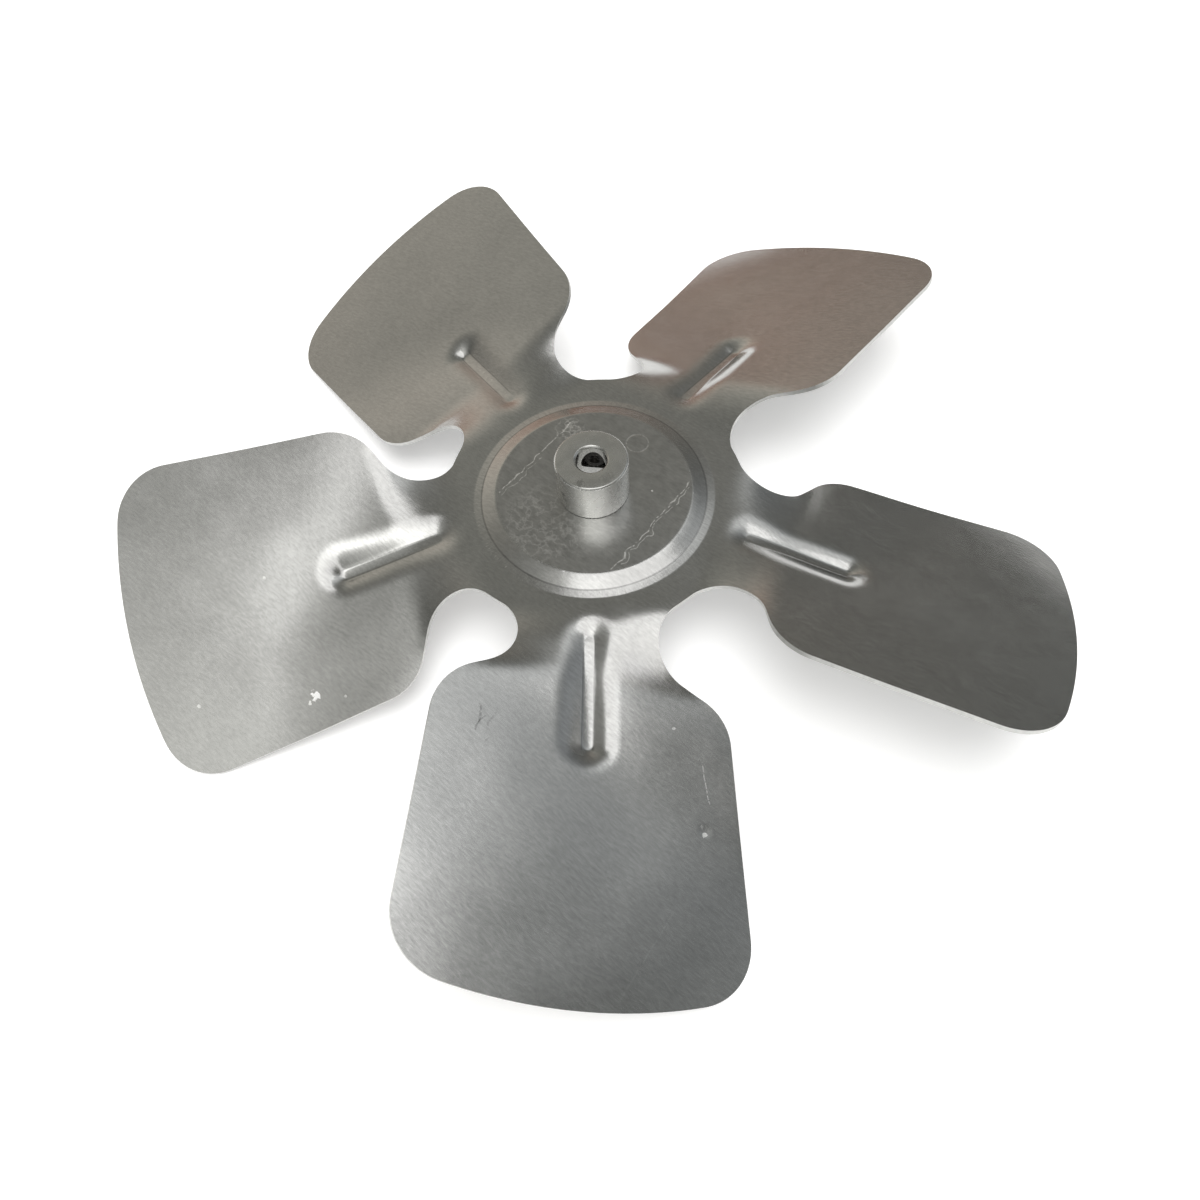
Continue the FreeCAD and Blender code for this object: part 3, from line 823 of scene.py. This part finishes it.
boss = {
    "diameter": 19.05 * mm,
    "height": 12.7 * mm,
    "edgeChamfer": 0.4 * mm,
    "footUndercut": 0.18 * mm,
    "boreDiameter": 7.94 * mm,
    "boreChamfer": 0.5 * mm,
    "shankDiameter": 14.2 * mm,
    "stakeOverhang": 1.3 * mm,
    "stakeThickness": 1.5 * mm,
    "stakeChamfer": 0.5 * mm,
    "cornerRounding": 0.12 * mm,
    "segments": 160,
    "sharpAngle": 32.0,
    "screwHoleDiameter": 6.45 * mm,
    "screwHoleSegments": 96,
    "screwAzimuth": 84.0,
    "screwBelowTop": 5.4 * mm,
}


def screwPlacing():
    # Lays a piece made along Z on the set screw's axis, pointing out of the boss
    top = press["discRise"] + boss["height"]
    return (Matrix.Translation((0.0, 0.0, top - boss["screwBelowTop"]))
            @ Matrix.Rotation(math.radians(boss["screwAzimuth"]), 4, "Z")
            @ Matrix.Rotation(math.radians(90.0), 4, "Y"))


def makeHubBoss(material):
    outer, bore = boss["diameter"] / 2.0, boss["boreDiameter"] / 2.0
    shank = boss["shankDiameter"] / 2.0
    stake = shank + boss["stakeOverhang"]
    seat = press["discRise"]
    under = seat - press["sheetThickness"]
    low, top = under - boss["stakeThickness"], seat + boss["height"]
    edge, ream = boss["edgeChamfer"], boss["boreChamfer"]
    stakeEdge, foot = boss["stakeChamfer"], boss["footUndercut"]
    corners = [(bore, low + ream), (bore + ream, low), (stake - stakeEdge, low),
               (stake, low + stakeEdge), (stake, under), (shank, under), (shank, seat),
               (outer - foot, seat), (outer, seat + foot), (outer, top - edge),
               (outer - edge, top), (bore + ream, top), (bore, top - ream)]
    section = softCorners(corners, boss["cornerRounding"])
    rings = [ringOf(r, z, boss["segments"]) for r, z in section]
    raw = bpy.data.objects.new("hubBossRaw", meshFromRings("hubBossRaw", rings, True))
    hole = boss["screwHoleDiameter"] / 2.0
    beyond = outer + 2.0 * mm
    drill = meshFromRings("screwHole", [ringOf(hole, z, boss["screwHoleSegments"])
                                        for z in (0.0, beyond)], False)
    drill.transform(screwPlacing())
    cutter = bpy.data.objects.new("screwHole", drill)
    for helper in (raw, cutter):
        bpy.context.scene.collection.objects.link(helper)
    cut = raw.modifiers.new("screwHole", "BOOLEAN")
    cut.operation = "DIFFERENCE"
    cut.solver = "EXACT"
    cut.object = cutter
    mesh = bpy.data.meshes.new_from_object(raw.evaluated_get(bpy.context.evaluated_depsgraph_get()))
    mesh.name = "hubBoss"
    for helper in (raw, cutter):
        bpy.data.objects.remove(helper)
    smoothMesh(mesh, boss["sharpAngle"])
    piece = bpy.data.objects.new("hubBoss", mesh)
    bpy.context.scene.collection.objects.link(piece)
    finishPiece(piece, "hub_boss", material)
    print("hub boss turned:", len(mesh.polygons), "faces")


# Socket set screw in the side of the boss

setScrew = {
    "diameter": 6.35 * mm,
    "length": 4.76 * mm,
    "clearOfShaft": 0.1 * mm,
    "endChamfer": 0.5 * mm,
    "threadPitch": 0.907 * mm,
    "threadDepth": 0.45 * mm,
    "stepsPerPitch": 10,
    "socketFlats": 3.18 * mm,
    "socketDepth": 2.2 * mm,
    "threadFlank": 1.3,
    "threadCrest": 0.15,
    "socketMouth": 1.08,
    "socketEdge": 0.12 * mm,
    "socketFloorRadius": 0.5 * mm,
    "socketPoint": 0.35 * mm,
    "cupDiameter": 3.2 * mm,
    "cupBottomRadius": 0.2 * mm,
    "cupDepth": 0.9 * mm,
    "segments": 72,
    "sharpAngle": 28.0,
}


def threadRing(z, low, high):
    # Crest and root of the thread at one height, with the crests turned off at both ends
    radius = setScrew["diameter"] / 2.0
    limit = radius - setScrew["endChamfer"] + min(z - low, high - z, setScrew["endChamfer"])
    ring = []
    for k in range(setScrew["segments"]):
        turn = k / setScrew["segments"]
        phase = (z / setScrew["threadPitch"] - turn) % 1.0
        cut = setScrew["threadFlank"] * (1.0 - abs(2.0 * phase - 1.0)) - setScrew["threadCrest"]
        here = radius - setScrew["threadDepth"] * min(max(cut, 0.0), 1.0)
        ring.append(Vector((*polar(min(here, limit), 360.0 * turn), z)))
    return ring


def hexRing(z, grow=1.0):
    # Six flats of the socket, drawn with as many points as the other rings
    half = setScrew["socketFlats"] / 2.0 * grow
    ring = []
    for k in range(setScrew["segments"]):
        angle = 360.0 * k / setScrew["segments"]
        ring.append(Vector((*polar(half / math.cos(math.radians(angle % 60.0 - 30.0)), angle), z)))
    return ring


def makeSetScrew(material):
    low = boss["boreDiameter"] / 2.0 + setScrew["clearOfShaft"]
    high = low + setScrew["length"]
    flat = setScrew["diameter"] / 2.0 - setScrew["endChamfer"]
    segments = setScrew["segments"]
    rings = [ringOf(setScrew["cupBottomRadius"], low + setScrew["cupDepth"], segments),
             ringOf(setScrew["cupDiameter"] / 2.0, low, segments), ringOf(flat, low, segments)]
    step = setScrew["threadPitch"] / setScrew["stepsPerPitch"]
    rings += [threadRing(z, low, high) for z in spread(low + step, high - step, step)]
    floor = high - setScrew["socketDepth"]
    rings += [ringOf(flat, high, segments), hexRing(high, setScrew["socketMouth"]),
              hexRing(high - setScrew["socketEdge"]), hexRing(floor),
              ringOf(setScrew["socketFloorRadius"], floor - setScrew["socketPoint"], segments)]
    mesh = meshFromRings("setScrew", rings, False)
    mesh.transform(screwPlacing())
    smoothMesh(mesh, setScrew["sharpAngle"])
    piece = bpy.data.objects.new("setScrew", mesh)
    bpy.context.scene.collection.objects.link(piece)
    finishPiece(piece, "set_screw", material)
    print("set screw cut:", len(mesh.polygons), "faces")


# Turned aluminium of the boss

turned = {
    "colour": (0.57, 0.57, 0.555),
    # Painted light: how much lighter the side of the boss is painted
    "paintedSideLight": 0.40,
    "roughness": 0.27,
    "toolMark": 0.16,
    "toolMarkDepth": 1.6e-6,
    "toolMarkTone": 0.16,
    "cloudTone": 0.22,
    "cloudRoughness": 0.12,
    # Dark smudges in millimetres: place, radius, how much darker
    "smudges": {"upper": ((-8.9, -3.4, 11.4), 0.75, 0.5), "middle": ((-7.2, -6.2, 8.1), 0.8, 0.6),
                "lower": ((-7.0, -6.4, 6.4), 1.1, 0.4), "rim": ((-2.6, -7.6, 14.7), 1.2, 0.25),
                "face": ((4.2, -5.8, 14.7), 1.6, 0.12)},
}


def turnedAluminium():
    # Tool marks run round the boss, on its side and its face
    material, tree, shader = newMaterial("turnedAluminium")
    place = patternPlace(tree)
    parts = split(tree, place)
    radius = lengthOf(tree, vectorMath(tree, "MULTIPLY", place, (1.0, 1.0, 0.0)))
    pitch = 1.0 / turned["toolMark"]
    rounds = addNode(tree, "ShaderNodeCombineXYZ",
                     {0: times(tree, radius, pitch), 1: times(tree, parts[2], pitch),
                      2: calc(tree, "ARCTAN2", parts[1], parts[0])}).outputs[0]
    marks = unevenness(tree, rounds, 2.0)
    cloud = unevenness(tree, place, 3.0, 0.35)
    ragged = unevenness(tree, place, 2.0, 1.4)
    tone = addScaled(tree, marks, turned["toolMarkTone"], 1.0)
    tone = addScaled(tree, cloud, turned["cloudTone"], tone)
    # Painted light: the side of the boss is painted lighter than its end faces
    side = fade(tree, calc(tree, "ABSOLUTE", facingUp(tree)), 0.7, 0.2)
    tone = addScaled(tree, side, turned["paintedSideLight"], tone)
    for centre, size, dark in turned["smudges"].values():
        tone = addScaled(tree, spotMask(tree, place, ragged, centre, size), -dark, tone)
    roughness = addScaled(tree, cloud, turned["cloudRoughness"], turned["roughness"])
    height = times(tree, marks, turned["toolMarkDepth"])
    finishMetal(tree, shader, shaded(tree, turned["colour"], tone), roughness, height)
    return material


# Blackened steel of the set screw

oxide = {
    "colour": (0.055, 0.053, 0.050, 1.0),
    "worn": (0.30, 0.29, 0.28, 1.0),
    "wear": 0.7,
    "wornFrom": 3.1,
    "wornFull": 3.5,
    "patchScale": 1.3,
    "patchRoughness": 0.2,
    "grainScale": 9.0,
    "grainDepth": 3e-6,
    "roughness": 0.36,
}


def screwSteel():
    # Black oxide, rubbed through to bright steel on the thread crests and the socket rim
    material, tree, shader = newMaterial("screwSteel")
    top = press["discRise"] + boss["height"] - boss["screwBelowTop"]
    local = patternPlace(tree, (0.0, 0.0, top), boss["screwAzimuth"])
    away = lengthOf(tree, vectorMath(tree, "MULTIPLY", local, (0.0, 1.0, 1.0)))
    patchy = noise(tree, local, 3.0, oxide["patchScale"])
    crest = fade(tree, addScaled(tree, patchy, 0.5, away), oxide["wornFrom"], oxide["wornFull"])
    mix = addNode(tree, "ShaderNodeMix", {"Factor": times(tree, crest, oxide["wear"])},
                  data_type="RGBA")
    mix.inputs[6].default_value = oxide["colour"]
    mix.inputs[7].default_value = oxide["worn"]
    fine = noise(tree, local, 2.0, oxide["grainScale"])
    roughness = addScaled(tree, minus(tree, patchy, 0.5), oxide["patchRoughness"],
                          oxide["roughness"])
    finishMetal(tree, shader, mix.outputs[2], roughness, times(tree, fine, oxide["grainDepth"]))
    return material


makeHubBoss(turnedAluminium())
makeSetScrew(screwSteel())


# Stage: pale floor, soft lamps and the camera

view = {
    "azimuth": 5.695,
    "elevation": 60.524,
    "roll": -4.931,
    "distance": 249.1 * mm,
    "aimRight": 1.63 * mm,
    "aimUp": -28.48 * mm,
    "lens": 28.0,
    "sensorWidth": 36.0,
    "clipStart": 1.0 * mm,
}


def makeCamera():
    azimuth = math.radians(view["azimuth"])
    elevation = math.radians(view["elevation"])
    roll = math.radians(view["roll"])
    back = Vector((math.sin(azimuth) * math.cos(elevation),
                   -math.cos(azimuth) * math.cos(elevation), math.sin(elevation)))
    level = Vector((math.cos(azimuth), math.sin(azimuth), 0.0))
    upright = back.cross(level)
    right = level * math.cos(roll) + upright * math.sin(roll)
    up = back.cross(right)
    place = back * view["distance"] + right * view["aimRight"] + up * view["aimUp"]
    camera = bpy.data.objects.new("camera", bpy.data.cameras.new("camera"))
    camera.data.lens = view["lens"]
    camera.data.sensor_width = view["sensorWidth"]
    camera.data.clip_start = view["clipStart"]
    camera.matrix_world = Matrix((right, up, back)).transposed().to_4x4()
    camera.matrix_world.translation = place
    bpy.context.scene.collection.objects.link(camera)
    bpy.context.scene.camera = camera


studio = {
    "floorColour": (0.86, 0.86, 0.86, 1.0),
    "floorGlow": 0.30,
    "floorSize": 6.0,
    # The soft box stands high in front, a little to the right, and shows in the metal
    "softBox": {"azimuth": -61.0, "elevation": 70.9, "turn": -6.8, "distance": 3.0,
                "size": (2.47, 3.26), "power": 39.3, "colour": (1.0, 0.992, 0.996)},
    # The fill lights the floor and all that isn't metal from overhead, and stays out of reflections
    "fill": {"height": 2.5, "size": 2.0, "power": 40.0},
    "roomColour": (0.140, 0.143, 0.133),
    # Soft cards and flags round the object: azimuth, elevation, tightness and what each adds
    "cards": {"leftCard": (121.6, 21.5, 5.9, (0.818, 0.744, 0.644)),
              "backWall": (109.3, -5.7, 11.1, (-0.191, -0.331, -0.329)),
              "rightFlag": (-16.9, 53.3, 8.0, (-0.302, -0.314, -0.336)),
              "backFlag": (117.8, 35.7, 11.2, (-0.274, -0.229, -0.193)),
              "rightCard": (3.3, 29.2, 7.8, (0.228, 0.261, 0.327)),
              "rightWall": (-8.8, 22.9, 7.3, (0.198, 0.182, 0.139)),
              "frontCard": (-111.4, 51.9, 15.5, (1.131, 1.130, 1.089)),
              "smallCard": (35.4, 57.5, 31.9, (0.950, 0.967, 0.973)),
              "leftGlow": (-148.0, 62.0, 12.0, (0.130, 0.130, 0.126))},
}


def makeFloor():
    size = studio["floorSize"] / 2.0
    mesh = bpy.data.meshes.new("floor")
    low = cadBox[0].z
    corners = [(-size, -size, low), (size, -size, low), (size, size, low), (-size, size, low)]
    mesh.from_pydata(corners, [], [(0, 1, 2, 3)])
    floor = bpy.data.objects.new("floor", mesh)
    bpy.context.scene.collection.objects.link(floor)
    material, tree, shader = newMaterial("floor")
    shader.inputs["Base Color"].default_value = studio["floorColour"]
    shader.inputs["Roughness"].default_value = 1.0
    shader.inputs["Specular IOR Level"].default_value = 0.0
    paths = addNode(tree, "ShaderNodeLightPath").outputs
    seen = calc(tree, "MAXIMUM", paths["Is Camera Ray"], paths["Is Glossy Ray"])
    seen = calc(tree, "MAXIMUM", seen, paths["Is Transmission Ray"])
    shader.inputs["Emission Color"].default_value = (1.0, 1.0, 1.0, 1.0)
    connect(tree, times(tree, seen, studio["floorGlow"]), shader.inputs["Emission Strength"])
    mesh.materials.append(material)


def towards(azimuth, elevation):
    flat = polar(math.cos(math.radians(elevation)), azimuth)
    return Vector((flat.x, flat.y, math.sin(math.radians(elevation))))


def makeWorld():
    # The camera sees a white backdrop, and the object the grey room with its soft cards and flags
    world = bpy.data.worlds.new("studio")
    bpy.context.scene.world = world
    world.use_nodes = True
    tree = world.node_tree
    background = tree.nodes["Background"]
    direction = addNode(tree, "ShaderNodeTexCoord").outputs["Generated"]
    room = studio["roomColour"]
    for azimuth, elevation, tightness, colour in studio["cards"].values():
        aim = vectorMath(tree, "DOT_PRODUCT", direction, towards(azimuth, elevation), "Value")
        share = calc(tree, "EXPONENT", addScaled(tree, aim, tightness, -tightness))
        room = addNode(tree, "ShaderNodeVectorMath", {0: colour, 1: share, 2: room},
                       operation="MULTIPLY_ADD").outputs[0]
    room = vectorMath(tree, "MAXIMUM", room, (0.0, 0.0, 0.0))
    paths = addNode(tree, "ShaderNodeLightPath").outputs
    mix = addNode(tree, "ShaderNodeMix", {"Factor": paths["Is Camera Ray"]}, data_type="RGBA")
    connect(tree, room, mix.inputs[6])
    mix.inputs[7].default_value = (1.0, 1.0, 1.0, 1.0)
    connect(tree, mix.outputs[2], background.inputs["Color"])


def makeLamp(name, aim, turn, distance, size, power):
    lamp = bpy.data.lights.new(name, "AREA")
    lamp.shape = "RECTANGLE"
    lamp.size, lamp.size_y = size
    lamp.energy = power
    across = Vector((0.0, 1.0, 0.0)).cross(aim).normalized()
    across.rotate(Quaternion(aim, math.radians(turn)))
    holder = bpy.data.objects.new(name, lamp)
    holder.matrix_world = Matrix((across, aim.cross(across), aim)).transposed().to_4x4()
    holder.matrix_world.translation = aim * distance
    bpy.context.scene.collection.objects.link(holder)
    return holder


def makeLamps():
    box = studio["softBox"]
    softBox = makeLamp("softBox", towards(box["azimuth"], box["elevation"]), box["turn"],
                       box["distance"], box["size"], box["power"])
    softBox.data.color = box["colour"]
    fill = studio["fill"]
    fillLamp = makeLamp("fill", towards(0.0, 90.0), 0.0, fill["height"],
                        (fill["size"], fill["size"]), fill["power"])
    fillLamp.visible_glossy = False


makeCamera()
makeFloor()
makeWorld()
makeLamps()
bpy.context.scene.view_settings.view_transform = "Standard"
print("stage set")
